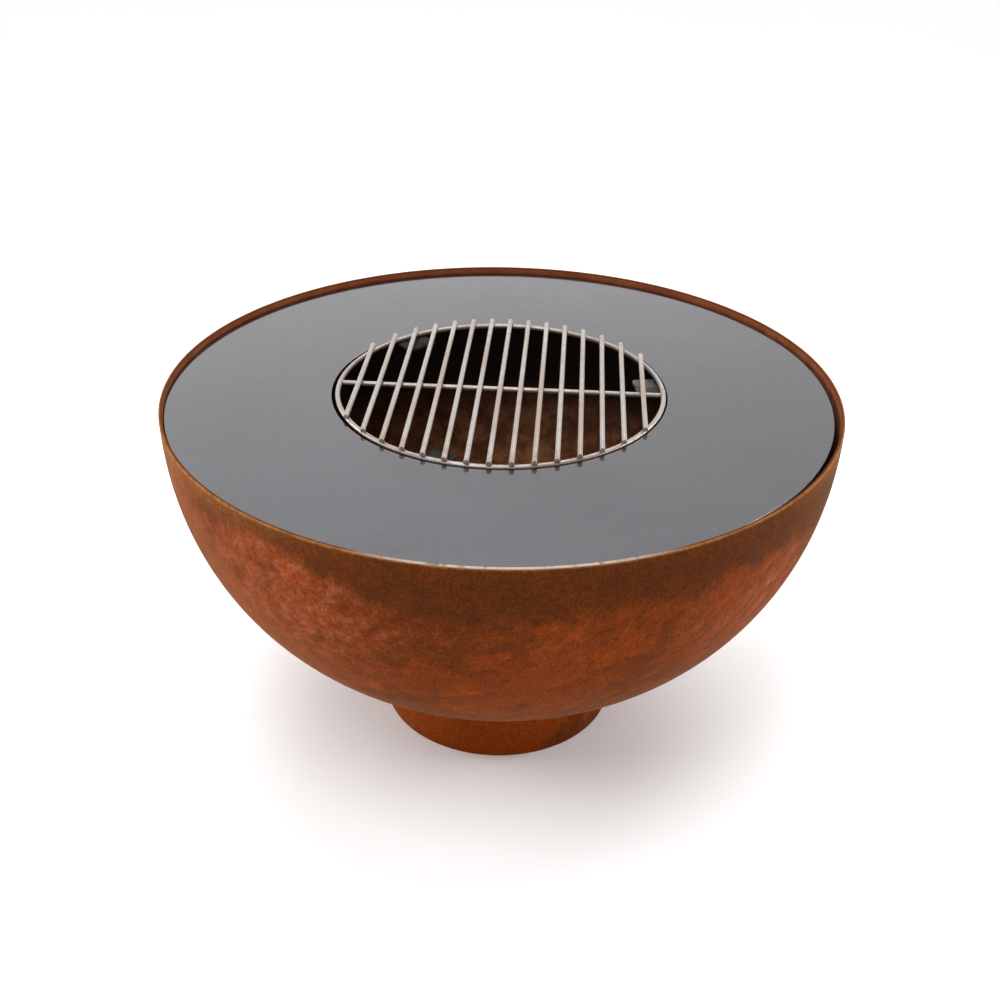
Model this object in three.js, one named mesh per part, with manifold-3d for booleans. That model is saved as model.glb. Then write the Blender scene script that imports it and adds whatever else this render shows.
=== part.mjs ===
// Fire pit with a grate: a spun bowl of weathering steel on a short base ring, a drop-in ring
// hotplate, and a round wire grate that rests in the hotplate's hole. Millimetres, +Z up. The
// origin is the centre of the base ring's underside, and the grate's bars run close to Y.
import * as THREE from 'three';
import { mergeVertices } from 'three/addons/utils/BufferGeometryUtils.js';
import Module from 'manifold-3d';

// Driving dimensions
const HEIGHT = 450;            // floor to the bowl's rim
const RIM_RADIUS = 400;        // outside of the rim
const BOWL_DEPTH = 380;        // rim to the outside of the bowl's bottom
const BOWL_FULLNESS = 2.14;    // exponent of the bowl's profile: 2 is an ellipse, more is fuller
const SHEET = 4;               // thickness of the bowl and the base ring
const BASE_RADIUS = 150;       // outside of the base ring

const PLATE_RADIUS = 392;      // outside of the hotplate
const PLATE_THICKNESS = 4;
const PLATE_RECESS = 6.6;      // rim down to the cooking surface
const PLATE_SHIFT = -3;        // how far the loose hotplate lies off the axis, along X
const HOLE_RADIUS = 200;       // hotplate's central hole

const REST_COUNT = 4;          // brackets inside the rim, under the hotplate's edge
const REST_WIDTH = 30;
const REST_REACH = 28;         // from the bowl's wall inwards
const REST_HEIGHT = 30;
const REST_START = 45;         // degrees, where the first bracket is

const TAB_COUNT = 3;           // tabs under the hotplate that the grate rests on
const TAB_WIDTH = 42;
const TAB_THICKNESS = 4;
const TAB_REACH = 35;          // inwards past the edge of the hole
const TAB_LAP = 25;            // outwards under the hotplate, where it is welded
const TAB_CORNER = 5;
const TAB_START = 7;           // degrees, where the first tab is

const WIRE = 6;                // diameter of every wire in the grate
const GRATE_RADIUS = 194;      // centreline of the grate's ring
const BAR_COUNT = 15;
const BAR_PITCH = 24.2;
const BAR_OVERHANG = 1;        // a bar's end past the outside of the ring
const GRATE_TURN = -3.3;       // degrees, how the loose grate happens to lie in the hole
const GRATE_SHIFT = [-1.8, 1.5];   // its middle off the bowl's axis, along X and Y

const GAP = 0.3;               // between pieces that touch
const ROUND_STEPS = 72;        // facets round the axis
const PROFILE_STEPS = 18;      // facets from the rim to the bowl's bottom
const WIRE_SIDES = 10;

const PLATE_TOP = HEIGHT - PLATE_RECESS;
const PLATE_BOTTOM = PLATE_TOP - PLATE_THICKNESS;
const TAB_TOP = PLATE_BOTTOM - GAP;
const RING_Z = TAB_TOP + GAP + WIRE / 2;
const BAR_Z = RING_Z + WIRE + GAP;

const rust = { color: '#6e3a1b', roughness: 0.92, metalness: 0.15 };
const rustInside = { color: '#5a3a28', roughness: 0.95, metalness: 0.1 };
const satinSteel = { color: '#8b8c91', roughness: 0.35, metalness: 0.9 };
const wireSteel = { color: '#c2b8af', roughness: 0.45, metalness: 0.8 };

const wasm = await Module();
wasm.setup();

const group = new THREE.Group();

function addPiece(parent, name, geometry, finish) {
  const piece = new THREE.Mesh(geometry, new THREE.MeshStandardMaterial(finish));
  piece.name = name;
  parent.add(piece);
  return piece;
}

// A closed [radius, height] outline turned round Z. An outline that doesn't start on the axis
// closes on itself.
function turned(outline) {
  const points = outline.map(([radius, height]) => new THREE.Vector2(radius, height));
  if (outline[0][0] > 0) points.push(points[0].clone());
  const geometry = new THREE.LatheGeometry(points, ROUND_STEPS);
  geometry.rotateX(Math.PI / 2);
  return geometry;
}

// One side of the bowl's wall, from the bottom's middle up to the rim.
function bowlCurve(radius, depth) {
  const points = [];
  for (let step = 0; step <= PROFILE_STEPS; step += 1) {
    const angle = (Math.PI / 2) * (1 - step / PROFILE_STEPS);
    const across = step === 0 ? 0 : Math.cos(angle) ** (2 / BOWL_FULLNESS);
    const down = Math.sin(angle) ** (2 / BOWL_FULLNESS);
    points.push([radius * across, HEIGHT - depth * down]);
  }
  return points;
}

// Height of the bowl's outer surface at a given radius.
function bowlSurface(radius) {
  const across = (radius / RIM_RADIUS) ** BOWL_FULLNESS;
  return HEIGHT - BOWL_DEPTH * (1 - across) ** (1 / BOWL_FULLNESS);
}

function toManifold(geometry) {
  const bare = geometry.index ? geometry.toNonIndexed() : geometry.clone();
  bare.deleteAttribute('normal');
  bare.deleteAttribute('uv');
  const merged = mergeVertices(bare, 1e-4);
  return new wasm.Manifold(new wasm.Mesh({
    numProp: 3,
    vertProperties: new Float32Array(merged.attributes.position.array),
    triVerts: new Uint32Array(merged.index.array),
  }));
}

function toGeometry(solid) {
  const result = solid.getMesh();
  const geometry = new THREE.BufferGeometry();
  geometry.setAttribute('position', new THREE.BufferAttribute(result.vertProperties, 3));
  geometry.setIndex(new THREE.BufferAttribute(result.triVerts, 1));
  geometry.computeVertexNormals();
  return geometry;
}

// The bowl and the base ring
function makeBowl() {
  const outside = bowlCurve(RIM_RADIUS, BOWL_DEPTH);
  const inside = bowlCurve(RIM_RADIUS - SHEET, BOWL_DEPTH - SHEET);
  return turned([...outside, ...inside.reverse()]);
}

function makeBaseRing() {
  const inner = BASE_RADIUS - SHEET;
  return turned([
    [inner, 0],
    [BASE_RADIUS, 0],
    [BASE_RADIUS, bowlSurface(BASE_RADIUS) - GAP],
    [inner, bowlSurface(inner) - GAP],
  ]);
}

// An angle bracket along X, with its upright leg trimmed to the bowl's inner surface.
function makePlateRest(angle) {
  const top = PLATE_BOTTOM - GAP;
  const wall = RIM_RADIUS - SHEET;
  const outline = new THREE.Shape([
    new THREE.Vector2(wall - REST_REACH, top - SHEET),
    new THREE.Vector2(wall - 2 * SHEET, top - SHEET),
    new THREE.Vector2(wall - 2 * SHEET, top - REST_HEIGHT),
    new THREE.Vector2(wall + SHEET, top - REST_HEIGHT),
    new THREE.Vector2(wall + SHEET, top),
    new THREE.Vector2(wall - REST_REACH, top),
  ]);
  const bracket = new THREE.ExtrudeGeometry(outline, { depth: REST_WIDTH, bevelEnabled: false });
  bracket.translate(0, 0, -REST_WIDTH / 2);
  bracket.rotateX(Math.PI / 2);
  bracket.rotateZ(angle);
  const room = turned([
    ...bowlCurve(wall - GAP, BOWL_DEPTH - SHEET - GAP),
    [0, HEIGHT],
  ]);
  return toGeometry(toManifold(bracket).intersect(toManifold(room)));
}

// The hotplate and the tabs welded under it
function makeHotplate() {
  return turned([
    [HOLE_RADIUS, PLATE_BOTTOM],
    [PLATE_RADIUS, PLATE_BOTTOM],
    [PLATE_RADIUS, PLATE_TOP],
    [HOLE_RADIUS, PLATE_TOP],
  ]);
}

// A flat tab along X, round at its two inner corners.
function makeGrateTab() {
  const inner = HOLE_RADIUS - TAB_REACH;
  const outer = HOLE_RADIUS + TAB_LAP;
  const half = TAB_WIDTH / 2;
  const outline = new THREE.Shape();
  outline.moveTo(outer, -half);
  outline.lineTo(outer, half);
  outline.lineTo(inner + TAB_CORNER, half);
  outline.absarc(inner + TAB_CORNER, half - TAB_CORNER, TAB_CORNER, Math.PI / 2, Math.PI, false);
  outline.absarc(inner + TAB_CORNER, TAB_CORNER - half, TAB_CORNER, Math.PI, Math.PI * 1.5, false);
  outline.closePath();
  const tab = new THREE.ExtrudeGeometry(outline, {
    depth: TAB_THICKNESS, bevelEnabled: false, curveSegments: 4,
  });
  tab.translate(0, 0, TAB_TOP - TAB_THICKNESS);
  return tab;
}

// The wire grate: the bars lie on the ring, and the cross bar runs under them inside it
function barHalfLength(offset) {
  const reach = GRATE_RADIUS + WIRE / 2 + BAR_OVERHANG;
  return Math.sqrt(reach ** 2 - offset ** 2);
}

function makeWire(length) {
  return new THREE.CylinderGeometry(WIRE / 2, WIRE / 2, length, WIRE_SIDES);
}

addPiece(group, 'fire_bowl', makeBowl(), rust);
addPiece(group, 'base_ring', makeBaseRing(), rust);
for (let index = 0; index < REST_COUNT; index += 1) {
  const angle = THREE.MathUtils.degToRad(REST_START + (360 / REST_COUNT) * index);
  addPiece(group, `plate_rest_${index + 1}`, makePlateRest(angle), rustInside);
}

const hotplate = new THREE.Group();
hotplate.position.x = PLATE_SHIFT;
group.add(hotplate);

addPiece(hotplate, 'hotplate', makeHotplate(), satinSteel);
for (let index = 0; index < TAB_COUNT; index += 1) {
  const tab = addPiece(hotplate, `grate_tab_${index + 1}`, makeGrateTab(), satinSteel);
  tab.rotation.z = THREE.MathUtils.degToRad(TAB_START + (360 / TAB_COUNT) * index);
}

const grate = new THREE.Group();
grate.position.set(GRATE_SHIFT[0], GRATE_SHIFT[1], 0);
grate.rotation.z = THREE.MathUtils.degToRad(GRATE_TURN);
group.add(grate);

const ring = addPiece(grate, 'grate_ring',
  new THREE.TorusGeometry(GRATE_RADIUS, WIRE / 2, WIRE_SIDES, ROUND_STEPS), wireSteel);
ring.position.z = RING_Z;

for (let index = 0; index < BAR_COUNT; index += 1) {
  const offset = (index - (BAR_COUNT - 1) / 2) * BAR_PITCH;
  const name = `grate_bar_${String(index + 1).padStart(2, '0')}`;
  const bar = addPiece(grate, name, makeWire(2 * barHalfLength(offset)), wireSteel);
  bar.position.set(offset, 0, BAR_Z);
}

const crossBar = addPiece(grate, 'grate_cross_bar',
  makeWire(2 * (GRATE_RADIUS - WIRE / 2 - GAP)), wireSteel);
crossBar.rotation.z = Math.PI / 2;
crossBar.position.z = RING_Z;

export default group;
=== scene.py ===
import math

import bmesh
import bpy
from bpy.props import FloatProperty, FloatVectorProperty, IntProperty, PointerProperty
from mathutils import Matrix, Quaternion, Vector


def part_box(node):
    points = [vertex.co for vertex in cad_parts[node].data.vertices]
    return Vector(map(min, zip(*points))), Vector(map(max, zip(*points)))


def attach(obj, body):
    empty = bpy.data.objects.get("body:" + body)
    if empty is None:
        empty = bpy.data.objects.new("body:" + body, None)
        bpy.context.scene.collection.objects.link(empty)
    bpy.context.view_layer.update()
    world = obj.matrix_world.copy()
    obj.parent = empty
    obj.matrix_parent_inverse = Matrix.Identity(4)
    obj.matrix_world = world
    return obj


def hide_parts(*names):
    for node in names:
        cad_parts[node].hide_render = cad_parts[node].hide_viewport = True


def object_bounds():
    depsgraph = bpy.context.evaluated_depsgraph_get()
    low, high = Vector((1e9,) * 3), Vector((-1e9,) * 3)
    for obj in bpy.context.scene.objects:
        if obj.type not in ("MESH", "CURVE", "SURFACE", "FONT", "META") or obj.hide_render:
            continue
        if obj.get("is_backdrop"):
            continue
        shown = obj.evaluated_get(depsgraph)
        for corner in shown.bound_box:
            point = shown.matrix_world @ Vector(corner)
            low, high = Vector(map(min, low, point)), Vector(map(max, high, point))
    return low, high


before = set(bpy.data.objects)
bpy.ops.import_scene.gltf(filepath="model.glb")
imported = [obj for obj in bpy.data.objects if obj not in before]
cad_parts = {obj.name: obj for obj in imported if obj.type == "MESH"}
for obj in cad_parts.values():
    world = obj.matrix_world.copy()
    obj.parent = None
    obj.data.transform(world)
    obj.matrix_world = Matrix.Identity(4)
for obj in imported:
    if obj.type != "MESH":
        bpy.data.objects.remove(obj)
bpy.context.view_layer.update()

bl_info = {
    "name": "Fire Pit with Grate",
    "version": (1, 0, 0),
    "blender": (4, 5, 0),
    "location": "3D View > Sidebar > Fire Pit",
    "description": "Builds a weathering-steel fire bowl with a ring hotplate and a wire grate",
    "category": "Object",
}

# places and sides of the bowl that the rust differs on, in the part's own frame; the crust places
# are also lightened as painted light, and the rim gets a painted highlight on one side
CRUST_AND_LIGHT_FRONT_LEFT = (-0.225, -0.33, 0.372)
CRUST_AND_LIGHT_FRONT_RIGHT = (0.283, -0.265, 0.345)
BAND_SIDE = (0.5, -0.866, 0.0)
OCHRE_AWAY_FROM = (0.2, -0.98, 0.0)
RIM_HIGHLIGHT_SIDE = (0.04, -0.999, 0.0)

# how bare the grate tabs' steel is, the rest being smoke stain and painted shade: the first tab is
# shaded less and the others more
TAB_LESS_SHADED = 0.5
TAB_SHADED = 0.05

# where the studio's camera stands and looks, from the axis and the rim
CAMERA_LENS = 45.86
CAMERA_BACK = 1.3822
CAMERA_ABOVE_RIM = 0.6501
AIM_BELOW_RIM = 0.1627
CAMERA_ROLL = math.radians(0.935)


# ---------------------------------------------------------------- sizes and colours


class FirePitSizes(bpy.types.PropertyGroup):
    """Sizes that the CAD solids leave to the finish."""

    fullness: FloatProperty(
        name="Bowl Fullness",
        description="Exponent of the bowl's profile; 2 is an ellipse and more is fuller",
        default=2.14,
        min=1.5,
        max=4.0,
    )
    round_steps: IntProperty(
        name="Round Steps",
        description="Facets round the bowl, the foot and the hotplate",
        default=256,
        min=48,
        max=512,
    )
    wall_steps: IntProperty(
        name="Wall Steps",
        description="Rings between the rim and the bottom of the bowl",
        default=48,
        min=12,
        max=96,
    )
    edge: FloatProperty(
        name="Edge Rounding",
        description="Rounding left on cut sheet and plate",
        default=0.0007,
        unit="LENGTH",
    )
    wire_sides: IntProperty(
        name="Wire Sides",
        description="Facets round each wire of the grate",
        default=20,
        min=8,
        max=48,
    )
    weld: FloatProperty(
        name="Weld Size",
        description="Half width of a tack weld on the grate",
        default=0.0031,
        unit="LENGTH",
    )
    bead: FloatProperty(
        name="Bead Size",
        description="Half width of the weld bead on sheet and plate",
        default=0.0035,
        unit="LENGTH",
    )


class FirePitColours(bpy.types.PropertyGroup):
    """Colours of the finishes."""

    rust_orange: FloatVectorProperty(
        name="Orange Rust",
        description="Main rust of the bowl",
        subtype="COLOR",
        default=(0.165, 0.032, 0.005),
    )
    rust_bright: FloatVectorProperty(
        name="Bright Rust",
        description="Fresh rust on the raised streaks",
        subtype="COLOR",
        default=(0.265, 0.045, 0.006),
    )
    rust_brown: FloatVectorProperty(
        name="Brown Rust",
        description="Older rust between the orange",
        subtype="COLOR",
        default=(0.093, 0.0215, 0.0042),
    )
    rust_dark: FloatVectorProperty(
        name="Dark Rust",
        description="Pits and specks",
        subtype="COLOR",
        default=(0.038, 0.012, 0.004),
    )
    rust_band: FloatVectorProperty(
        name="Dark Band",
        description="Thin dark rust under the rim",
        subtype="COLOR",
        default=(0.067, 0.0192, 0.0042),
    )
    rust_ochre: FloatVectorProperty(
        name="Ochre Rust",
        description="Yellow brown rust towards the rim",
        subtype="COLOR",
        default=(0.21, 0.07, 0.011),
    )
    rust_scale: FloatVectorProperty(
        name="Pale Crust",
        description="Dry pinkish crust on the rust",
        subtype="COLOR",
        default=(0.31, 0.12, 0.07),
    )
    rust_low: FloatVectorProperty(
        name="Low Rust",
        description="Smooth rust of the lower bowl and foot",
        subtype="COLOR",
        default=(0.262, 0.046, 0.004),
    )
    rust_inner: FloatVectorProperty(
        name="Inner Rust",
        description="Rust of the bowl's inner wall",
        subtype="COLOR",
        default=(0.36, 0.145, 0.062),
    )
    # near black for soot and painted shade, under the hotplate and on the grate tabs
    soot_and_shade: FloatVectorProperty(
        name="Soot",
        description="Smoke stain under the hotplate",
        subtype="COLOR",
        default=(0.034, 0.031, 0.029),
    )
    # pale lip band along the rim: rubbed rust and a painted highlight
    rust_tan: FloatVectorProperty(
        name="Worn Rim",
        description="Rubbed rust along the edge",
        subtype="COLOR",
        default=(0.3, 0.135, 0.045),
    )
    # bright bare metal on the rim's top edge towards the camera: wear and a painted highlight
    bare_rim_and_highlight: FloatVectorProperty(
        name="Bare Rim",
        description="Metal rubbed bright on the top edge",
        subtype="COLOR",
        default=(0.46, 0.4, 0.34),
    )
    plate_steel: FloatVectorProperty(
        name="Plate Steel",
        description="Oiled bare steel of the hotplate",
        subtype="COLOR",
        default=(0.275, 0.272, 0.289),
    )
    wire_steel: FloatVectorProperty(
        name="Wire Steel",
        description="Bare wire of the grate",
        subtype="COLOR",
        default=(0.4, 0.377, 0.357),
    )
    wire_stain: FloatVectorProperty(
        name="Wire Stain",
        description="Warm stain on the grate's wire",
        subtype="COLOR",
        default=(0.35, 0.264, 0.207),
    )
    weld_tint: FloatVectorProperty(
        name="Weld Tint",
        description="Heat colour beside a weld",
        subtype="COLOR",
        default=(0.27, 0.17, 0.12),
    )
    weld_bright: FloatVectorProperty(
        name="Bright Weld",
        description="Bright spots of the weld metal",
        subtype="COLOR",
        default=(0.42, 0.36, 0.32),
    )
    floor: FloatVectorProperty(
        name="Floor",
        description="Pale studio floor",
        subtype="COLOR",
        default=(0.92, 0.92, 0.92),
    )


# ---------------------------------------------------------------- reading the frame


def along(node, direction, origin=(0.0, 0.0, 0.0)):
    """Lowest and highest distance of a CAD node's corners from origin, along a direction."""
    start = Vector(origin)
    way = Vector(direction).normalized()
    reach = [(corner.co - start).dot(way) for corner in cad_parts[node].data.vertices]
    return min(reach), max(reach)


def middle(node):
    """The middle of a CAD node's box."""
    low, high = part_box(node)
    return (low + high) / 2


def radii(node, centre):
    """Smallest and largest distance of a CAD node's corners from a vertical axis."""
    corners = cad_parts[node].data.vertices
    reach = [math.hypot(corner.co.x - centre.x, corner.co.y - centre.y) for corner in corners]
    return min(reach), max(reach)


def nodes_named(start):
    return sorted(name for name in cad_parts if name.startswith(start))


class Bowl:
    """The bowl's measures, read from its CAD solid."""

    def __init__(self):
        low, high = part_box("fire_bowl")
        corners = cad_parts["fire_bowl"].data.vertices
        rim = [math.hypot(c.co.x, c.co.y) for c in corners if c.co.z > high.z - 1e-4]
        self.rim_height = high.z
        self.depth = high.z - low.z
        self.radius = max(rim)
        self.sheet = max(rim) - min(rim)
        self.fullness = bpy.context.scene.fire_pit_sizes.fullness

    def height(self, radius):
        """Height of the outer surface at a radius."""
        across = (radius / self.radius) ** self.fullness
        return self.rim_height - self.depth * (1 - across) ** (1 / self.fullness)

    def wall(self, inset, steps):
        """(radius, height) points of one side of the wall, from the bottom's middle to the rim."""
        radius = self.radius - inset
        depth = self.depth - inset
        points = [(0.0, self.rim_height - depth)]
        for step in range(1, steps + 1):
            angle = math.pi / 2 * (1 - step / steps)
            across = max(math.cos(angle), 0.0) ** (2 / self.fullness)
            down = max(math.sin(angle), 0.0) ** (2 / self.fullness)
            points.append((radius * across, self.rim_height - depth * down))
        return points


# ---------------------------------------------------------------- modelling


def clear_selection():
    if bpy.context.object and bpy.context.object.mode != "OBJECT":
        bpy.ops.object.mode_set(mode="OBJECT")
    bpy.ops.object.select_all(action="DESELECT")


def edit(piece):
    clear_selection()
    piece.select_set(True)
    bpy.context.view_layer.objects.active = piece
    bpy.ops.object.mode_set(mode="EDIT")
    bpy.ops.mesh.select_mode(type="VERT")


def pick(piece, kind, test):
    """Selects only the vertices, edges or faces that pass a test, in edit mode."""
    bpy.ops.mesh.select_all(action="DESELECT")
    bpy.ops.mesh.select_mode(type=kind)
    shape = bmesh.from_edit_mesh(piece.data)
    found = {"VERT": shape.verts, "EDGE": shape.edges, "FACE": shape.faces}[kind]
    for item in found:
        if test(item):
            item.select_set(True)
    bmesh.update_edit_mesh(piece.data)


def settle(piece, smooth_angle=35.0):
    """Applies the piece's place, turns its faces outwards and smooths it."""
    edit(piece)
    bpy.ops.mesh.select_all(action="SELECT")
    bpy.ops.mesh.normals_make_consistent(inside=False)
    bpy.ops.object.mode_set(mode="OBJECT")
    bpy.ops.object.transform_apply(location=True, rotation=True, scale=True)
    bpy.ops.object.shade_smooth_by_angle(angle=math.radians(smooth_angle))


def hand_over(piece, body, slot, materials, *replaced):
    """Gives a finished piece its materials, its body and the CAD nodes that it stands for."""
    for finish in materials:
        if finish.name not in piece.data.materials:
            piece.data.materials.append(finish)
    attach(piece, body)
    if replaced:
        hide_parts(*replaced)
    clear_selection()


def rounded(points, edge, corners, steps=3):
    """An outline with some of its corners rounded off, and a holding point beside each curve
    that keeps the flats flat when they are smoothed."""
    outline = []
    for index, point in enumerate(points):
        if index not in corners:
            outline.append(point)
            continue
        here = Vector(point)
        back = (Vector(points[index - 1]) - here).normalized()
        on = (Vector(points[(index + 1) % len(points)]) - here).normalized()
        outline.append(tuple(here + back * edge * 2))
        for step in range(steps + 1):
            part = step / steps
            start = here + back * edge
            end = here + on * edge
            bend = start * (1 - part) ** 2 + here * 2 * part * (1 - part) + end * part**2
            outline.append(tuple(bend))
        outline.append(tuple(here + on * edge * 2))
    return outline


def extrude_ring(centre, start, end):
    """Extrudes the selected ring from one (radius, height) point to the next."""
    rise = (0, 0, end[1] - start[1])
    bpy.ops.mesh.extrude_region_move(TRANSFORM_OT_translate={"value": rise})
    ratio = max(end[0], 1e-5) / start[0]
    pivot = (centre[0], centre[1], end[1])
    bpy.ops.transform.resize(value=(ratio, ratio, 1), center_override=pivot)


def turn(name, outline, steps, centre=(0.0, 0.0)):
    """Extrudes a circle ring by ring through an outline of (radius, height) points. An outline
    that starts and ends on the axis is closed there, and any other is joined to its start."""
    on_axis = outline[0][0] == 0
    rings = outline[1:-1] if on_axis else outline
    clear_selection()
    place = (centre[0], centre[1], rings[0][1])
    bpy.ops.mesh.primitive_circle_add(vertices=steps, radius=rings[0][0], location=place)
    piece = bpy.context.object
    piece.name = name
    edit(piece)
    bpy.ops.mesh.select_all(action="SELECT")
    for start, end in zip(rings, rings[1:]):
        extrude_ring(centre, start, end)
    if not on_axis:
        pick(piece, "EDGE", lambda item: item.is_boundary)
        bpy.ops.mesh.bridge_edge_loops()
        return piece
    for ring, pole in ((rings[-1], outline[-1]), (rings[0], outline[0])):
        height = ring[1] - rings[0][1]
        pick(
            piece,
            "EDGE",
            lambda item, level=height: item.is_boundary
            and abs(item.verts[0].co.z - level) < 1e-6,
        )
        rise = (0, 0, pole[1] - ring[1])
        bpy.ops.mesh.extrude_region_move(TRANSFORM_OT_translate={"value": rise})
        bpy.ops.mesh.merge(type="CENTER")
    return piece


def rod(name, diameter, length, sides, edge):
    """A round bar along Y with the cut edges of its ends rounded."""
    clear_selection()
    bpy.ops.mesh.primitive_cylinder_add(
        vertices=sides, radius=diameter / 2, depth=length, rotation=(math.pi / 2, 0, 0)
    )
    piece = bpy.context.object
    piece.name = name
    edit(piece)
    pick(piece, "FACE", lambda face: len(face.verts) > 4)
    bpy.ops.mesh.region_to_loop()
    bpy.ops.mesh.bevel(offset=edge, segments=3, affect="EDGES")
    pick(piece, "FACE", lambda face: len(face.verts) > 4)
    bpy.ops.mesh.inset(thickness=diameter * 0.15)
    bpy.ops.mesh.poke()
    return piece


def hold_flats(piece, edge):
    """Insets the large flats of a rounded plate, so that they stay flat when smoothed."""
    pick(piece, "FACE", lambda face: min(e.calc_length() for e in face.edges) > edge * 1.5)
    bpy.ops.mesh.inset(thickness=edge, use_individual=True)


def plate_block(name, size, place, edge):
    """A flat bar of sheet with a small rounding on every edge."""
    clear_selection()
    bpy.ops.mesh.primitive_cube_add(size=1, location=place, scale=size)
    piece = bpy.context.object
    piece.name = name
    bpy.ops.object.transform_apply(location=True, rotation=True, scale=True)
    edit(piece)
    bpy.ops.mesh.select_all(action="SELECT")
    bpy.ops.mesh.bevel(offset=edge, segments=2, affect="EDGES")
    hold_flats(piece, edge)
    return piece


def nugget(name, size, seed, roughness=0.12, detail=3):
    """A small irregular drop of weld metal at the origin, size being its three half widths."""
    clear_selection()
    bpy.ops.mesh.primitive_ico_sphere_add(subdivisions=detail, radius=1, scale=size)
    piece = bpy.context.object
    piece.name = name
    bpy.ops.object.transform_apply(location=True, rotation=True, scale=True)
    edit(piece)
    bpy.ops.mesh.select_all(action="SELECT")
    bpy.ops.transform.vertex_random(offset=min(size) * roughness, seed=seed)
    bpy.ops.object.mode_set(mode="OBJECT")
    return piece


def joined(name, parts):
    """Joins pieces into the first of them."""
    clear_selection()
    for part in parts:
        part.select_set(True)
    bpy.context.view_layer.objects.active = parts[0]
    bpy.ops.object.join()
    parts[0].name = name
    return parts[0]


def copies_joined(name, pattern, placings):
    """Copies a pattern to each (place, turn about Z) and joins the copies into one piece."""
    copies = []
    for place, angle in placings:
        copy = pattern.copy()
        copy.data = pattern.data.copy()
        bpy.context.scene.collection.objects.link(copy)
        copy.location = place
        copy.rotation_euler = (0, 0, angle)
        copies.append(copy)
    bpy.data.objects.remove(pattern)
    return joined(name, copies)


def give_faces(piece, index, test):
    """Gives the faces that pass a test the material in another slot."""
    edit(piece)
    pick(piece, "FACE", test)
    piece.active_material_index = index
    bpy.ops.object.material_slot_assign()
    bpy.ops.object.mode_set(mode="OBJECT")


# ---------------------------------------------------------------- materials


class Finish:
    """One material, built node by node. Places are Object coordinates in metres."""

    def __init__(self, name):
        self.material = bpy.data.materials.new(name)
        self.material.use_nodes = True
        self.tree = self.material.node_tree
        self.tree.nodes.clear()
        self.place = self.node("ShaderNodeTexCoord").outputs["Object"]

    def node(self, kind, **settings):
        made = self.tree.nodes.new(kind)
        for key, value in settings.items():
            setattr(made, key, value)
        return made

    def feed(self, socket, value):
        if isinstance(value, bpy.types.NodeSocket):
            self.tree.links.new(value, socket)
        elif hasattr(value, "__len__") and len(socket.default_value) == 4 and len(value) == 3:
            socket.default_value = (*value, 1.0)
        else:
            socket.default_value = value

    def math(self, operation, *values):
        made = self.node("ShaderNodeMath", operation=operation)
        for socket, value in zip(made.inputs, values):
            self.feed(socket, value)
        return made.outputs[0]

    def vector(self, operation, *values):
        made = self.node("ShaderNodeVectorMath", operation=operation)
        for socket, value in zip(made.inputs, values):
            self.feed(socket, value)
        return made.outputs["Value" if operation in ("LENGTH", "DOT_PRODUCT", "DISTANCE") else 0]

    def split(self, vector):
        made = self.node("ShaderNodeSeparateXYZ")
        self.feed(made.inputs[0], vector)
        return made.outputs

    def join(self, x, y, z):
        made = self.node("ShaderNodeCombineXYZ")
        for socket, value in zip(made.inputs, (x, y, z)):
            self.feed(socket, value)
        return made.outputs[0]

    def leaning(self, vector, angle, stretch):
        """Coordinates stretched along a line that leans from upright towards +X."""
        made = self.node("ShaderNodeMapping", vector_type="TEXTURE")
        self.feed(made.inputs["Vector"], vector)
        made.inputs["Rotation"].default_value = (0, angle, 0)
        made.inputs["Scale"].default_value = (1, 1, stretch)
        return made.outputs[0]

    def shifted(self, vector, shift):
        return self.vector("ADD", vector, shift)

    def noise(self, vector, scale, detail=5.0, roughness=0.55, distortion=0.0):
        made = self.node("ShaderNodeTexNoise")
        self.feed(made.inputs["Vector"], vector)
        made.inputs["Scale"].default_value = scale
        made.inputs["Detail"].default_value = detail
        made.inputs["Roughness"].default_value = roughness
        made.inputs["Distortion"].default_value = distortion
        return made.outputs[0]

    def ramp(self, value, low, high, to_low=0.0, to_high=1.0):
        made = self.node("ShaderNodeMapRange", interpolation_type="SMOOTHSTEP")
        for name, number in (
            ("Value", value),
            ("From Min", low),
            ("From Max", high),
            ("To Min", to_low),
            ("To Max", to_high),
        ):
            self.feed(made.inputs[name], number)
        return made.outputs[0]

    def mix(self, share, first, second, blend="MIX"):
        made = self.node("ShaderNodeMix", data_type="RGBA", blend_type=blend)
        sockets = (made.inputs[0], made.inputs[6], made.inputs[7])
        for socket, value in zip(sockets, (share, first, second)):
            self.feed(socket, value)
        return made.outputs[2]

    def bump(self, height, distance, strength=1.0, below=None):
        made = self.node("ShaderNodeBump")
        made.inputs["Strength"].default_value = strength
        made.inputs["Distance"].default_value = distance
        self.feed(made.inputs["Height"], height)
        if below is not None:
            self.feed(made.inputs["Normal"], below)
        return made.outputs[0]

    def shade(self, colour, roughness, normal, metallic=0.0, specular=0.5):
        shader = self.node("ShaderNodeBsdfPrincipled")
        self.feed(shader.inputs["Base Color"], colour)
        self.feed(shader.inputs["Roughness"], roughness)
        if normal is not None:
            self.feed(shader.inputs["Normal"], normal)
        shader.inputs["Metallic"].default_value = metallic
        shader.inputs["Specular IOR Level"].default_value = specular
        output = self.node("ShaderNodeOutputMaterial")
        self.tree.links.new(shader.outputs[0], output.inputs["Surface"])
        return self.material


def round_the_axis(finish, around, up):
    """Object coordinates wrapped round the axis: around per radian and up per metre."""
    x, y, z = finish.split(finish.place)
    outwards = finish.vector("NORMALIZE", finish.join(x, y, 0.0))
    parts = finish.split(outwards)
    return finish.join(
        finish.math("MULTIPLY", parts[0], around),
        finish.math("MULTIPLY", parts[1], around),
        finish.math("MULTIPLY", z, up),
    )


def wavering(finish, value, noise, reach):
    """A value moved up and down by a noise, by up to half of reach."""
    swing = finish.math("SUBTRACT", noise, 0.5)
    return finish.math("ADD", value, finish.math("MULTIPLY", swing, reach))


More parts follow.
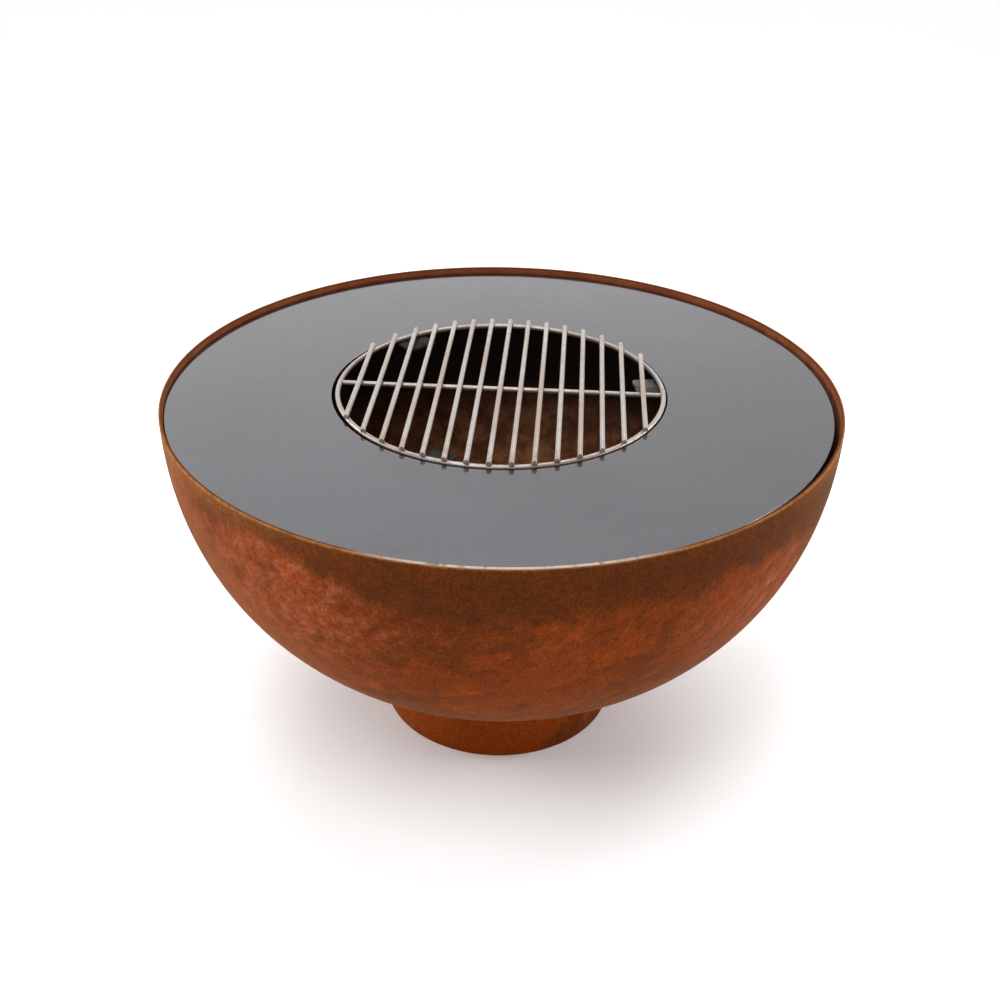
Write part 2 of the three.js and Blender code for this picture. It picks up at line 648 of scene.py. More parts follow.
def near(finish, centre, inner, outer, noise):
    """1 within inner of a place on the bowl, 0 beyond outer, with a ragged border."""
    far = finish.vector("DISTANCE", finish.place, centre)
    return finish.ramp(wavering(finish, far, noise, 0.12), inner, outer, 1.0, 0.0)


def rust_outside(colours, bowl):
    """Weathering steel: a dark grained band under the rim, mottled orange below it, dry pale
    crust in patches lightened as painted light, and a rubbed rim with a painted highlight."""
    finish = Finish("rust_outside")
    place = finish.place
    x, y, height = finish.split(place)
    down = finish.math("SUBTRACT", bowl.rim_height, height)

    clouds = finish.noise(place, 6.0, 4.0, 0.55)
    mottle = finish.noise(place, 34.0, 8.0, 0.68)
    grain = finish.noise(round_the_axis(finish, 170.0, 120.0), 1.0, 4.0, 0.7)
    speckle = finish.noise(place, 300.0, 4.0, 0.75)
    slanted = finish.leaning(place, math.radians(52), 2.0)
    streaks = finish.noise(slanted, 48.0, 8.0, 0.68, 0.25)
    crust = finish.noise(finish.leaning(place, math.radians(40), 1.5), 95.0, 9.0, 0.78)

    # mottled body
    coarse = finish.math("MULTIPLY", clouds, 0.55)
    fine = finish.math("MULTIPLY", mottle, 0.45)
    tone = finish.math("ADD", coarse, fine)
    colour = finish.mix(finish.ramp(tone, 0.4, 0.6), colours.rust_brown, colours.rust_orange)
    colour = finish.mix(finish.ramp(streaks, 0.5, 0.68, 0.0, 0.5), colour, colours.rust_bright)
    colour = finish.mix(finish.ramp(streaks, 0.3, 0.45, 0.5, 0.0), colour, colours.rust_dark)

    # dry crust in patches, which are also lightened towards bright rust as painted light
    zone = near(finish, CRUST_AND_LIGHT_FRONT_LEFT, 0.05, 0.15, clouds)
    zone = finish.math("MAXIMUM", zone, near(finish, CRUST_AND_LIGHT_FRONT_RIGHT, 0.03, 0.1, clouds))
    elsewhere = finish.noise(finish.shifted(place, (3.1, 0.4, 1.7)), 3.4, 3.0, 0.5)
    behind = finish.math("MULTIPLY", finish.ramp(elsewhere, 0.5, 0.6), finish.ramp(y, -0.2, 0.0))
    zone = finish.math("MAXIMUM", zone, behind)
    zone = finish.math("MAXIMUM", zone, finish.ramp(elsewhere, 0.45, 0.6, 0.0, 0.35))
    zone = finish.math("MULTIPLY", zone, finish.ramp(streaks, 0.36, 0.56, 0.25, 1.0))
    # painted light: the crust patches, mainly the front left one, are lifted towards bright rust
    colour = finish.mix(finish.math("MULTIPLY", zone, 0.55), colour, colours.rust_bright)
    flakes = finish.math("MULTIPLY", finish.ramp(crust, 0.46, 0.66), zone)
    pits = finish.math("MULTIPLY", finish.ramp(crust, 0.36, 0.46, 1.0, 0.0), zone)
    colour = finish.mix(finish.math("MULTIPLY", flakes, 0.62), colour, colours.rust_scale)
    colour = finish.mix(finish.math("MULTIPLY", pits, 0.6), colour, colours.rust_dark)

    # dark band, deepest at the front right
    outwards = finish.vector("NORMALIZE", finish.join(x, y, 0.0))
    lean = finish.vector("DOT_PRODUCT", outwards, BAND_SIDE)
    border = finish.ramp(lean, 0.22, 0.88, 0.018, 0.06)
    edge = finish.math("SUBTRACT", down, border)
    edge = wavering(finish, edge, clouds, 0.05)
    edge = wavering(finish, edge, mottle, 0.04)
    band = finish.ramp(edge, -0.012, 0.014, 0.9, 0.0)
    thin_rust = finish.mix(finish.ramp(mottle, 0.4, 0.65), colours.rust_band, colours.rust_brown)
    colour = finish.mix(band, colour, thin_rust)

    # yellow brown towards the rim, strongest away from the dark front
    facing = finish.vector("DOT_PRODUCT", outwards, OCHRE_AWAY_FROM)
    ochre = finish.ramp(wavering(finish, down, mottle, 0.04), 0.0, 0.026, 0.74, 0.0)
    ochre = finish.math("MULTIPLY", ochre, finish.ramp(facing, 0.45, 0.92, 1.0, 0.06))
    colour = finish.mix(ochre, colour, colours.rust_ochre)

    # lower bowl and foot: smoother and redder towards the ground, with dark patches
    low = finish.ramp(wavering(finish, down, mottle, 0.03), 0.345, 0.375, 0.0, 0.7)
    blotch = finish.noise(finish.shifted(place, (0.7, 2.2, 0.1)), 17.0, 4.0, 0.6)
    blotch = finish.ramp(wavering(finish, x, blotch, 0.5), 0.04, 0.16, 0.0, 0.75)
    bottom = finish.mix(blotch, colours.rust_low, colours.rust_dark)
    colour = finish.mix(low, colour, bottom)

    # upright grain and specks over all, and painted shade darkening the lower bowl
    shade = finish.ramp(grain, 0.3, 0.7, 0.86, 1.14)
    shade = finish.math("MULTIPLY", shade, finish.ramp(speckle, 0.3, 0.7, 0.72, 1.28))
    # painted shade: darker towards the bottom of the bowl
    shade = finish.math("MULTIPLY", shade, finish.ramp(down, 0.2, 0.32, 1.0, 0.87))
    colour = finish.mix(1.0, colour, finish.join(shade, shade, shade), "MULTIPLY")

    # rubbed rim, browner along its inner half; the pale lip band is rubbed rust and painted
    # highlight, and the bright bare metal at the front is worn metal with a painted highlight
    worn = finish.noise(round_the_axis(finish, 42.0, 60.0), 1.0, 8.0, 0.75)
    # rubbed rust and painted highlight: a pale band within a few millimetres of the rim's top
    lip = wavering(finish, down, worn, 0.0035)
    lip = finish.ramp(lip, 0.0004, 0.0032, 0.9, 0.0)
    radius = finish.vector("LENGTH", finish.join(x, y, 0.0))
    inner_half = wavering(finish, finish.math("SUBTRACT", bowl.radius, radius), worn, 0.003)
    dull = finish.ramp(worn, 0.45, 0.62, 0.15, 0.6)
    dull = finish.math("MAXIMUM", finish.ramp(inner_half, 0.0008, 0.0022), dull)
    edge_tone = finish.mix(dull, colours.rust_tan, colours.rust_brown)
    colour = finish.mix(lip, colour, edge_tone)
    # painted highlight: bright bare metal on the rim's top edge, only on the side towards the
    # camera
    bare = finish.ramp(down, 0.0002, 0.0007, 0.85, 0.0)
    bare = finish.math("MULTIPLY", bare, finish.ramp(worn, 0.36, 0.5))
    front = finish.ramp(finish.vector("DOT_PRODUCT", outwards, RIM_HIGHLIGHT_SIDE), 0.9, 0.99)
    colour = finish.mix(finish.math("MULTIPLY", bare, front), colour, colours.bare_rim_and_highlight)

    rough = finish.math("MULTIPLY", crust, finish.ramp(zone, 0.0, 1.0, 0.25, 1.0))
    normal = finish.bump(rough, 0.0028, 0.7)
    normal = finish.bump(mottle, 0.0016, 0.4, normal)
    normal = finish.bump(grain, 0.0006, 0.5, normal)
    normal = finish.bump(speckle, 0.0004, 0.5, normal)
    roughness = finish.ramp(mottle, 0.3, 0.7, 0.82, 0.98)
    made = finish.shade(colour, roughness, normal, specular=0.03)

    # dry rust dust, which pales the surface where it is seen edge on
    dust = made.node_tree.nodes["Principled BSDF"]
    dust.inputs["Sheen Weight"].default_value = 0.12
    dust.inputs["Sheen Roughness"].default_value = 0.3
    dust.inputs["Sheen Tint"].default_value = (1.0, 0.72, 0.45, 1.0)
    return made


def rust_inside(colours, bowl):
    """The bowl's inner wall: orange above the hotplate, darkened under it by soot and painted
    shade, and brown below.
    """
    finish = Finish("rust_inside")
    place = finish.place
    height = finish.split(place)[2]
    down = finish.math("SUBTRACT", bowl.rim_height, height)
    mottle = finish.noise(place, 32.0, 7.0, 0.65)
    grain = finish.noise(place, 210.0, 4.0, 0.7)
    older = finish.ramp(mottle, 0.38, 0.62, 0.0, 0.75)
    colour = finish.mix(older, colours.rust_inner, colours.rust_brown)
    colour = finish.mix(finish.ramp(grain, 0.55, 0.75, 0.0, 0.4), colour, colours.rust_orange)
    # soot and painted shade: the wall under the hotplate darkened towards near black
    soot_and_shade = finish.ramp(wavering(finish, down, mottle, 0.04), 0.15, 0.215, 0.93, 0.1)
    soot_and_shade = finish.math("MULTIPLY", soot_and_shade, finish.ramp(down, 0.01, 0.03))
    colour = finish.mix(soot_and_shade, colour, colours.soot_and_shade)
    lit = finish.ramp(wavering(finish, down, grain, 0.01), 0.008, 0.018, 0.8, 0.0)
    colour = finish.mix(lit, colour, colours.rust_orange)
    normal = finish.bump(mottle, 0.0015, 0.5)
    normal = finish.bump(grain, 0.0005, 0.5, normal)
    return finish.shade(colour, finish.ramp(mottle, 0.3, 0.7, 0.8, 0.95), normal, specular=0.3)


def plate_finish(colours):
    """Oiled bare plate: an even blue grey with faint clouds and a fine rolled grain."""
    finish = Finish("oiled_plate")
    place = finish.place
    clouds = finish.noise(place, 4.0, 4.0, 0.55)
    grain = finish.noise(finish.leaning(place, math.radians(90), 12.0), 420.0, 2.0, 0.5)
    clouds = wavering(finish, clouds, finish.noise(place, 90.0, 3.0, 0.6), 0.5)
    lighter = tuple(part * 1.03 for part in colours.plate_steel)
    darker = tuple(part * 0.97 for part in colours.plate_steel)
    colour = finish.mix(finish.ramp(clouds, 0.35, 0.65), darker, lighter)
    smear = finish.noise(finish.leaning(place, math.radians(90), 2.5), 10.0, 5.0, 0.6)
    roughness = finish.ramp(smear, 0.3, 0.7, 0.09, 0.13)
    normal = finish.bump(grain, 0.00001, 0.2)
    return finish.shade(colour, roughness, normal, metallic=1.0)


def tab_finish(name, colours, bare_share):
    """The grate's tabs: the plate's steel, darkened towards soot as smoke stain and painted shade,
    less so the larger the bare share given.
    """
    finish = Finish(name)
    clouds = finish.noise(finish.place, 45.0, 5.0, 0.6)
    bare = tuple(part * bare_share for part in colours.plate_steel)
    # smoke stain and painted shade: the steel mixed towards the soot colour
    colour = finish.mix(finish.ramp(clouds, 0.4, 0.65), colours.soot_and_shade, bare)
    normal = finish.bump(clouds, 0.0003, 0.4)
    roughness = finish.ramp(clouds, 0.3, 0.7, 0.75 - 0.5 * bare_share, 0.85 - 0.5 * bare_share)
    return finish.shade(colour, roughness, normal, metallic=bare_share, specular=0.05)


def wire_finish(name, colours, tint_share):
    """Bare steel wire: warm stains that differ from bar to bar, and rusty heat marks by the
    hoop, strongest at the front."""
    finish = Finish(name)
    place = finish.place
    x, y, _ = finish.split(place)
    hoop = middle("grate_ring")
    level = finish.vector("SUBTRACT", finish.join(x, y, 0.0), (hoop.x, hoop.y, 0.0))
    far = finish.vector("LENGTH", level)
    radius = along("grate_ring", (1, 0, 0), hoop)[1]
    off = finish.math("ABSOLUTE", finish.math("SUBTRACT", far, radius - 0.007))
    clouds = finish.noise(place, 60.0, 5.0, 0.6)
    scratches = finish.noise(place, 420.0, 3.0, 0.6)
    across = finish.math("MULTIPLY", x, 34.0)
    lengthwise = finish.math("MULTIPLY", y, 5.0)
    each = finish.noise(finish.join(across, lengthwise, 0.0), 1.0, 2.0, 0.5)
    stain = finish.ramp(each, 0.42, 0.66, 0.0, 0.7)
    colour = finish.mix(stain, colours.wire_steel, colours.wire_stain)
    colour = finish.mix(finish.ramp(clouds, 0.45, 0.68, 0.0, 0.4), colour, colours.wire_stain)
    colour = finish.mix(finish.ramp(scratches, 0.56, 0.72, 0.0, 0.45), colour, colours.weld_tint)
    front = finish.ramp(y, -0.08, -0.17, 0.35, 1.0)
    heat = finish.math("MULTIPLY", finish.ramp(off, 0.003, 0.022, tint_share, 0.0), front)
    patches = finish.noise(place, 190.0, 4.0, 0.65)
    heat = finish.math("MULTIPLY", heat, finish.ramp(patches, 0.42, 0.58))
    colour = finish.mix(heat, colour, colours.weld_tint)
    normal = finish.bump(scratches, 0.00012, 0.6)
    roughness = finish.ramp(clouds, 0.3, 0.7, 0.36, 0.5)
    return finish.shade(colour, roughness, normal, metallic=0.75)


def weld_finish(colours):
    """Weld metal: dark heat tint with a few bright spots."""
    finish = Finish("weld_metal")
    clouds = finish.noise(finish.place, 260.0, 4.0, 0.6)
    colour = finish.mix(finish.ramp(clouds, 0.45, 0.65), colours.weld_tint, colours.weld_bright)
    normal = finish.bump(finish.noise(finish.place, 700.0, 3.0, 0.6), 0.0003, 0.6)
    return finish.shade(colour, finish.ramp(clouds, 0.3, 0.7, 0.35, 0.6), normal, metallic=0.7)


def floor_finish(colours):
    """Seamless pale studio floor, lit a little from within like a light table."""
    finish = Finish("studio_floor")
    tone = finish.noise(finish.place, 1.5, 3.0, 0.5)
    darker = tuple(part * 0.99 for part in colours.floor)
    colour = finish.mix(finish.ramp(tone, 0.4, 0.6), darker, colours.floor)
    made = finish.shade(colour, 0.9, None, specular=0.1)
    glow = made.node_tree.nodes["Principled BSDF"]
    glow.inputs["Emission Color"].default_value = (1.0, 0.985, 0.98, 1.0)
    glow.inputs["Emission Strength"].default_value = 0.07
    return made


def material(name, make, *needs):
    """A finish by name, made once."""
    return bpy.data.materials.get(name) or make(*needs)


# ---------------------------------------------------------------- operators


def settings(context):
    """The sizes and the colours that the panel shows."""
    return context.scene.fire_pit_sizes, context.scene.fire_pit_colours


class FIREPIT_OT_stage(bpy.types.Operator):
    """Adds the floor, the lights and the camera"""

    bl_idname = "firepit.stage"
    bl_label = "Stage"

    def execute(self, context):
        scene = context.scene
        low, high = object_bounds()
        colours = scene.fire_pit_colours
        self.add_floor(low.z, colours)
        self.add_world(scene)
        self.add_lights(high)
        self.add_camera(scene, high.z)
        scene.view_settings.view_transform = "Standard"
        return {"FINISHED"}

    def add_floor(self, height, colours):
        clear_selection()
        bpy.ops.mesh.primitive_circle_add(
            vertices=128, radius=14.0, fill_type="TRIFAN", location=(0, 0, height)
        )
        floor = bpy.context.object
        floor.name = "studio_floor"
        bpy.ops.object.transform_apply(location=True, rotation=True, scale=True)
        floor.data.materials.append(floor_finish(colours))
        floor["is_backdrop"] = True

    def add_world(self, scene):
        world = bpy.data.worlds.new("studio_air")
        world.use_nodes = True
        tree = world.node_tree
        tree.nodes.clear()
        coordinate = tree.nodes.new("ShaderNodeTexCoord")
        parts = tree.nodes.new("ShaderNodeSeparateXYZ")
        tree.links.new(coordinate.outputs["Generated"], parts.inputs[0])
        sky = self.add_ramp(tree, parts.outputs[2], (0.36, 0.96), (0.85, 0.25))
        haze = self.add_ramp(tree, parts.outputs[2], (0.0, 0.36), (1.7, 0.0))
        side = self.add_ramp(tree, parts.outputs[0], (-1.0, 1.0), (1.335, 0.61))
        depth = self.add_ramp(tree, parts.outputs[1], (-1.0, 1.0), (0.45, 1.06))
        tinted = tree.nodes.new("ShaderNodeMath")
        tinted.operation = "MULTIPLY_ADD"
        for socket, value in zip(tinted.inputs, (sky, side, haze)):
            tree.links.new(value, socket)
        deepened = tree.nodes.new("ShaderNodeMath")
        deepened.operation = "MULTIPLY"
        tree.links.new(tinted.outputs[0], deepened.inputs[0])
        tree.links.new(depth, deepened.inputs[1])
        air = tree.nodes.new("ShaderNodeBackground")
        air.inputs["Color"].default_value = (1, 1, 1, 1)
        output = tree.nodes.new("ShaderNodeOutputWorld")
        tree.links.new(deepened.outputs[0], air.inputs["Strength"])
        tree.links.new(air.outputs[0], output.inputs["Surface"])
        scene.world = world

    def add_ramp(self, tree, value, span, reach):
        """A value that runs over reach while another runs over span."""
        ramp = tree.nodes.new("ShaderNodeMapRange")
        tree.links.new(value, ramp.inputs["Value"])
        for name, number in zip(("From Min", "From Max", "To Min", "To Max"), (*span, *reach)):
            ramp.inputs[name].default_value = number
        return ramp.outputs[0]

    def add_lights(self, high):
        for name, kind, place, size, power in (
            ("overhead_light", "SUN", (0.3, 1.2, 3.0), math.radians(60), 1.8),
            ("front_softbox", "AREA", (-0.6, -1.5, 3.0), 1.6, 50.0),
            ("left_softbox", "AREA", (-2.5, 0.5, 0.9), 1.5, 40.0),
            ("right_softbox", "AREA", (2.5, 0.5, 0.9), 1.5, 42.0),
        ):
            light = bpy.data.lights.new(name, kind)
            light.energy = power
            if kind == "SUN":
                light.angle = size
            else:
                light.size = size
            lamp = bpy.data.objects.new(name, light)
            bpy.context.scene.collection.objects.link(lamp)
            lamp.location = place
            way = Vector((0, 0, high.z * 0.6)) - lamp.location
            lamp.rotation_euler = way.to_track_quat("-Z", "Y").to_euler()

    def add_camera(self, scene, rim_height):
        view = bpy.data.cameras.new("camera")
        view.lens = CAMERA_LENS
        view.sensor_width = 36.0
        camera = bpy.data.objects.new("camera", view)
        scene.collection.objects.link(camera)
        scene.camera = camera
        camera.location = (0.0, -CAMERA_BACK, rim_height + CAMERA_ABOVE_RIM)
        aim = Vector((-0.0005, 0.0, rim_height - AIM_BELOW_RIM))
        way = (aim - camera.location).to_track_quat("-Z", "Y")
        roll = Quaternion((0, 0, 1), CAMERA_ROLL)
        camera.rotation_mode = "QUATERNION"
        camera.rotation_quaternion = way @ roll


class FIREPIT_OT_bowl(bpy.types.Operator):
    """Turns the bowl, with a rounded rim"""

    bl_idname = "firepit.bowl"
    bl_label = "Bowl"

    def execute(self, context):
        sizes, colours = settings(context)
        bowl = Bowl()
        outside = bowl.wall(0.0, sizes.wall_steps)
        inside = bowl.wall(bowl.sheet, sizes.wall_steps)
        outline = outside + inside[::-1]
        rim = (len(outside) - 1, len(outside))
        outline = rounded(outline, sizes.edge, rim)
        piece = turn("spun_bowl", outline, sizes.round_steps)
        settle(piece)
        rust = material("rust_outside", rust_outside, colours, bowl)
        inside_rust = material("rust_inside", rust_inside, colours, bowl)
        hand_over(piece, "bowl", "corten_outside", (rust, inside_rust), "fire_bowl")
        lip = bowl.rim_height - 2 * sizes.edge

        def faces_in(face):
            middle_of = face.calc_center_median()
            level = Vector((middle_of.x, middle_of.y, 0))
            hollow = face.normal.dot(level) < 0 or face.normal.z > 0.5
            return hollow and middle_of.z < lip

        give_faces(piece, 1, faces_in)
        clear_selection()
        return {"FINISHED"}


class FIREPIT_OT_foot(bpy.types.Operator):
    """Turns the foot ring and lays the weld bead inside its top edge"""

    bl_idname = "firepit.foot"
    bl_label = "Foot Ring"

    def execute(self, context):
        sizes, colours = settings(context)
        bowl = Bowl()
        inner, outer = radii("base_ring", Vector((0, 0, 0)))
        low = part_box("base_ring")[0]
        outline = [
            (inner, low.z),
            (outer, low.z),
            (outer, bowl.height(outer)),
            (inner, bowl.height(inner)),
        ]
        outline = rounded(outline, sizes.edge, (0, 1))
        piece = turn("foot_ring", outline, sizes.round_steps)
        settle(piece)
        rust = material("rust_outside", rust_outside, colours, bowl)
        hand_over(piece, "bowl", "corten_outside", (rust,), "base_ring")

        count = 120
        reach = inner - sizes.bead * 0.3
        size = (sizes.bead, sizes.bead * 1.6, sizes.bead)
        drop = nugget("bead_drop", size, seed=3, roughness=0.08, detail=2)
        placings = []
        for index in range(count):
            angle = 2 * math.pi * index / count
            place = (reach * math.cos(angle), reach * math.sin(angle), bowl.height(inner))
            placings.append((place, angle))
        weld = copies_joined("foot_weld", drop, placings)
        settle(weld)
        inside_rust = material("rust_inside", rust_inside, colours, bowl)
        hand_over(weld, "bowl", "corten_outside", (inside_rust,))
        return {"FINISHED"}


class FIREPIT_OT_rests(bpy.types.Operator):
    """Folds the four angle brackets that carry the hotplate"""

    bl_idname = "firepit.rests"
    bl_label = "Plate Rests"

    def execute(self, context):
        sizes, colours = settings(context)
        bowl = Bowl()
        inside_rust = material("rust_inside", rust_inside, colours, bowl)
        for number, node in enumerate(nodes_named("plate_rest_"), 1):
            self.add_rest(node, number, bowl, sizes, inside_rust)
        return {"FINISHED"}

    def add_rest(self, node, number, bowl, sizes, finish):
        centre = middle(node)
        angle = math.atan2(centre.y, centre.x)
        out = Vector((math.cos(angle), math.sin(angle), 0))
        side = Vector((-out.y, out.x, 0))
        near, far = along(node, out)
        left, right = along(node, side)
        low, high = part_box(node)
        depth = bowl.sheet
        arm = plate_block(
            "bracket_arm",
            (far - near, right - left, depth),
            ((near + far) / 2, 0, high.z - depth / 2),
            sizes.edge,
        )
        bpy.ops.object.mode_set(mode="OBJECT")
        leg = plate_block(
            "bracket_leg",
            (depth, right - left, high.z - low.z - depth / 2),
            (far - depth * 0.8, 0, (low.z + high.z - depth / 2) / 2),
            sizes.edge,
        )
        bpy.ops.object.mode_set(mode="OBJECT")
        size = (sizes.bead, sizes.bead, sizes.bead * 1.5)
        drop = nugget("bead_drop", size, seed=5 + number, roughness=0.1, detail=2)
        count = 5
        placings = []
        for offset in (left, right):
            for step in range(count):
                height = low.z + (high.z - low.z) * (step + 0.5) / count
                placings.append(((far - depth * 0.4, offset, height), 0.0))
        weld = copies_joined("bracket_weld", drop, placings)
        bracket = joined(f"rest_bracket_{number}", (arm, leg, weld))
        bracket.rotation_euler = (0, 0, angle)
        settle(bracket)
        hand_over(bracket, "bowl", "corten_bracket", (finish,), node)


class FIREPIT_OT_hotplate(bpy.types.Operator):
    """Turns the ring hotplate with softened cut edges"""

    bl_idname = "firepit.hotplate"
    bl_label = "Hotplate"

    def execute(self, context):
        sizes, colours = settings(context)
        centre = middle("hotplate")
        inner, outer = radii("hotplate", centre)
        low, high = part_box("hotplate")
        outline = [(inner, low.z), (outer, low.z), (outer, high.z), (inner, high.z)]
        outline = rounded(outline, sizes.edge, (0, 1, 2, 3))
        piece = turn("plancha_ring", outline, sizes.round_steps, (centre.x, centre.y))
        settle(piece)
        steel = material("oiled_plate", plate_finish, colours)
        hand_over(piece, "hotplate", "hotplate_steel", (steel,), "hotplate")
        return {"FINISHED"}


class FIREPIT_OT_tabs(bpy.types.Operator):
    """Cuts the three tabs under the hotplate that carry the grate"""

    bl_idname = "firepit.tabs"
    bl_label = "Grate Tabs"

    corner: FloatProperty(
        name="Corner",
        description="Radius of a tab's inner corners",
        default=0.005,
        unit="LENGTH",
    )

    def execute(self, context):
        sizes, colours = settings(context)
        centre = middle("hotplate")
        for number, node in enumerate(nodes_named("grate_tab_"), 1):
            name, bare_share = ("tab_steel", TAB_LESS_SHADED) if number == 1 else ("tab_shaded_steel", TAB_SHADED)
            steel = material(name, tab_finish, name, colours, bare_share)
            self.add_tab(node, number, centre, sizes, steel)
        return {"FINISHED"}

    def add_tab(self, node, number, centre, sizes, finish):
        place = middle(node) - centre
        angle = math.atan2(place.y, place.x)
        out = Vector((math.cos(angle), math.sin(angle), 0))
        side = Vector((-out.y, out.x, 0))
        near, far = along(node, out, centre)
        left, right = along(node, side, centre)
        low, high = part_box(node)
        clear_selection()
        bpy.ops.mesh.primitive_cube_add(
            size=1,
            location=((near + far) / 2, (left + right) / 2, (low.z + high.z) / 2),
            scale=(far - near, right - left, high.z - low.z),
        )
        tab = bpy.context.object
        tab.name = f"grate_support_{number}"
        bpy.ops.object.transform_apply(location=True, rotation=True, scale=True)
        edit(tab)

        def inner_corner(item):
            first, second = (corner.co for corner in item.verts)
            upright = abs(first.z - second.z) > 1e-4
            return upright and first.x < near + 1e-4

        pick(tab, "EDGE", inner_corner)
        bpy.ops.mesh.bevel(offset=self.corner, segments=6, affect="EDGES")
        pick(tab, "FACE", lambda face: abs(face.normal.z) > 0.9)
        bpy.ops.mesh.region_to_loop()
        bpy.ops.mesh.bevel(offset=sizes.edge, segments=2, affect="EDGES")
        pick(tab, "FACE", lambda face: abs(face.normal.z) > 0.99)
        bpy.ops.mesh.inset(thickness=sizes.edge)
        tab.rotation_euler = (0, 0, angle)
        tab.location = (centre.x, centre.y, 0)
        settle(tab)
        hand_over(tab, "hotplate", "hotplate_steel", (finish,), node)


class Grate:
    """Where the grate lies, read from its CAD wires."""

    def __init__(self):
        bars = nodes_named("grate_bar_")
        first, last = middle(bars[0]), middle(bars[-1])
        across = last - first
        self.bars = bars
        self.turn = math.atan2(across.y, across.x)
        self.centre = middle("grate_ring")
        self.across = Vector((math.cos(self.turn), math.sin(self.turn), 0))
        self.lengthwise = Vector((-self.across.y, self.across.x, 0))
        low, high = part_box(bars[0])
        self.wire = high.z - low.z
        self.bar_height = (low.z + high.z) / 2
        outer = along("grate_ring", self.across, self.centre)[1]
        self.hoop = outer - self.wire / 2


class FIREPIT_OT_hoop(bpy.types.Operator):
    """Bends the grate's outer hoop and closes it with a butt weld"""

    bl_idname = "firepit.hoop"
    bl_label = "Grate Hoop"

    def execute(self, context):
        sizes, colours = settings(context)
        grate = Grate()
        clear_selection()
        bpy.ops.mesh.primitive_torus_add(
            major_segments=sizes.round_steps,
            minor_segments=sizes.wire_sides,
            major_radius=grate.hoop,
            minor_radius=grate.wire / 2,
            location=grate.centre,
        )
        hoop = bpy.context.object
        size = (grate.wire * 0.58, grate.wire * 0.28, grate.wire * 0.58)
        joint = nugget("hoop_joint", size, seed=11, roughness=0.1)
        joint.location = grate.centre + Vector((grate.hoop, 0, 0))
        hoop = joined("grate_hoop", (hoop, joint))
        settle(hoop)
        wire = material("hoop_wire", wire_finish, "hoop_wire", colours, 0.35)
        hand_over(hoop, "grate", "grate_wire", (wire,), "grate_ring")
        return {"FINISHED"}


class FIREPIT_OT_bars(bpy.types.Operator):
    """Cuts the parallel bars and the cross bar to length"""

    bl_idname = "firepit.bars"
    bl_label = "Grate Bars"

    def execute(self, context):
        sizes, colours = settings(context)
        grate = Grate()
        wire = material("bar_wire", wire_finish, "bar_wire", colours, 0.6)
        for number, node in enumerate(grate.bars, 1):
            self.add_rod(f"grate_rod_{number:02d}", node, grate.lengthwise, grate, sizes, wire)
        self.add_rod("grate_cross_rod", "grate_cross_bar", grate.across, grate, sizes, wire)
        return {"FINISHED"}

    def add_rod(self, name, node, way, grate, sizes, finish):
        centre = middle(node)
        start, end = along(node, way, centre)
        piece = rod(name, grate.wire, end - start, sizes.wire_sides, sizes.edge)
        bpy.ops.object.mode_set(mode="OBJECT")
        piece.rotation_mode = "QUATERNION"
        turned = Vector((0, 1, 0)).rotation_difference(way)
        piece.rotation_quaternion = turned @ piece.rotation_euler.to_quaternion()
        piece.location = centre
        settle(piece, 40.0)
        hand_over(piece, "grate", "grate_wire", (finish,), node)


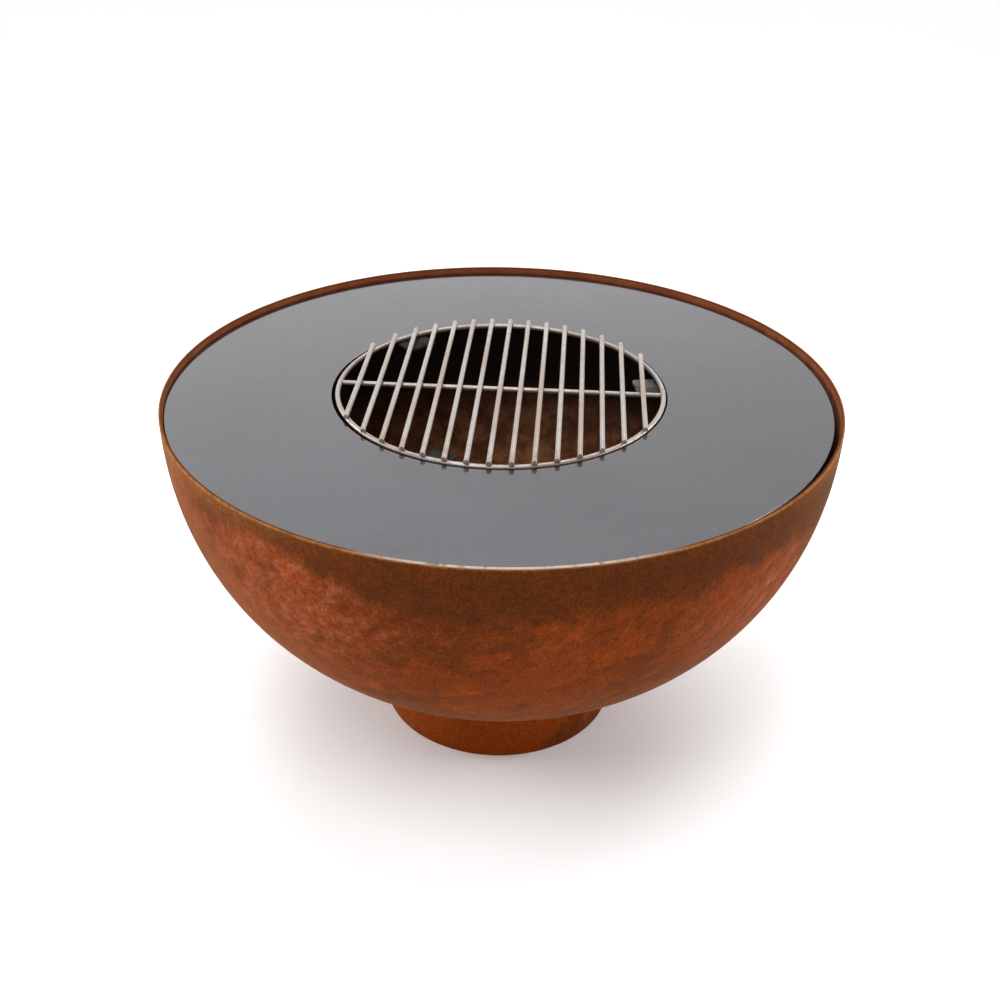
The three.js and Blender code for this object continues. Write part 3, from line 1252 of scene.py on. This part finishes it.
class FIREPIT_OT_welds(bpy.types.Operator):
    """Tacks every bar to the hoop and to the cross bar"""

    bl_idname = "firepit.welds"
    bl_label = "Grate Welds"

    def execute(self, context):
        sizes, colours = settings(context)
        grate = Grate()
        weld = sizes.weld
        height = (grate.bar_height + grate.centre.z) / 2
        at_hoop = []
        at_cross = []
        for node in grate.bars:
            offset = (middle(node) - grate.centre).dot(grate.across)
            reach = math.sqrt(grate.hoop**2 - offset**2)
            for sign in (-1, 1):
                place = grate.centre + grate.across * offset + grate.lengthwise * reach * sign
                place.z = height
                tangent = math.atan2(reach * sign, offset) + math.pi / 2
                at_hoop.append((place, grate.turn + tangent))
            place = grate.centre + grate.across * offset
            place.z = height
            at_cross.append((place, grate.turn))
        tack = nugget("tack", (weld * 1.3, weld * 0.7, weld * 0.6), seed=21, roughness=0.14)
        hoop_welds = copies_joined("hoop_tacks", tack, at_hoop)
        spot = nugget("spot", (weld * 1.2, weld * 0.7, weld * 0.45), seed=23)
        cross_welds = copies_joined("cross_tacks", spot, at_cross)
        ends = []
        for sign in (-1, 1):
            place = grate.centre + grate.across * sign * (grate.hoop - grate.wire / 2)
            ends.append((place, grate.turn))
        cap = nugget("cap", (weld * 0.55, weld * 1.25, weld * 1.1), seed=29)
        end_welds = copies_joined("end_tacks", cap, ends)
        piece = joined("grate_welds", (hoop_welds, cross_welds, end_welds))
        settle(piece, 60.0)
        hand_over(piece, "grate", "grate_wire", (material("weld_metal", weld_finish, colours),))
        return {"FINISHED"}


class FIREPIT_PT_build(bpy.types.Panel):
    """Lists the steps that build the fire pit"""

    bl_idname = "FIREPIT_PT_build"
    bl_label = "Fire Pit"
    bl_space_type = "VIEW_3D"
    bl_region_type = "UI"
    bl_category = "Fire Pit"

    def draw(self, context):
        layout = self.layout
        for step in STEPS:
            layout.operator(step.bl_idname)
        for group in settings(context):
            box = layout.box()
            for name in group.__annotations__:
                box.prop(group, name)


STEPS = (
    FIREPIT_OT_stage,
    FIREPIT_OT_bowl,
    FIREPIT_OT_foot,
    FIREPIT_OT_rests,
    FIREPIT_OT_hotplate,
    FIREPIT_OT_tabs,
    FIREPIT_OT_hoop,
    FIREPIT_OT_bars,
    FIREPIT_OT_welds,
)
GROUPS = (FirePitSizes, FirePitColours)


def register():
    for group in (*GROUPS, *STEPS, FIREPIT_PT_build):
        bpy.utils.register_class(group)
    bpy.types.Scene.fire_pit_sizes = PointerProperty(type=FirePitSizes)
    bpy.types.Scene.fire_pit_colours = PointerProperty(type=FirePitColours)


def unregister():
    del bpy.types.Scene.fire_pit_colours
    del bpy.types.Scene.fire_pit_sizes
    for group in reversed((*GROUPS, *STEPS, FIREPIT_PT_build)):
        bpy.utils.unregister_class(group)


def main():
    register()
    for step in STEPS:
        group, name = step.bl_idname.split(".")
        result = getattr(getattr(bpy.ops, group), name)()
        if result != {"FINISHED"}:
            raise RuntimeError(f"{step.bl_label} did not finish")


if __name__ == "__main__":
    main()
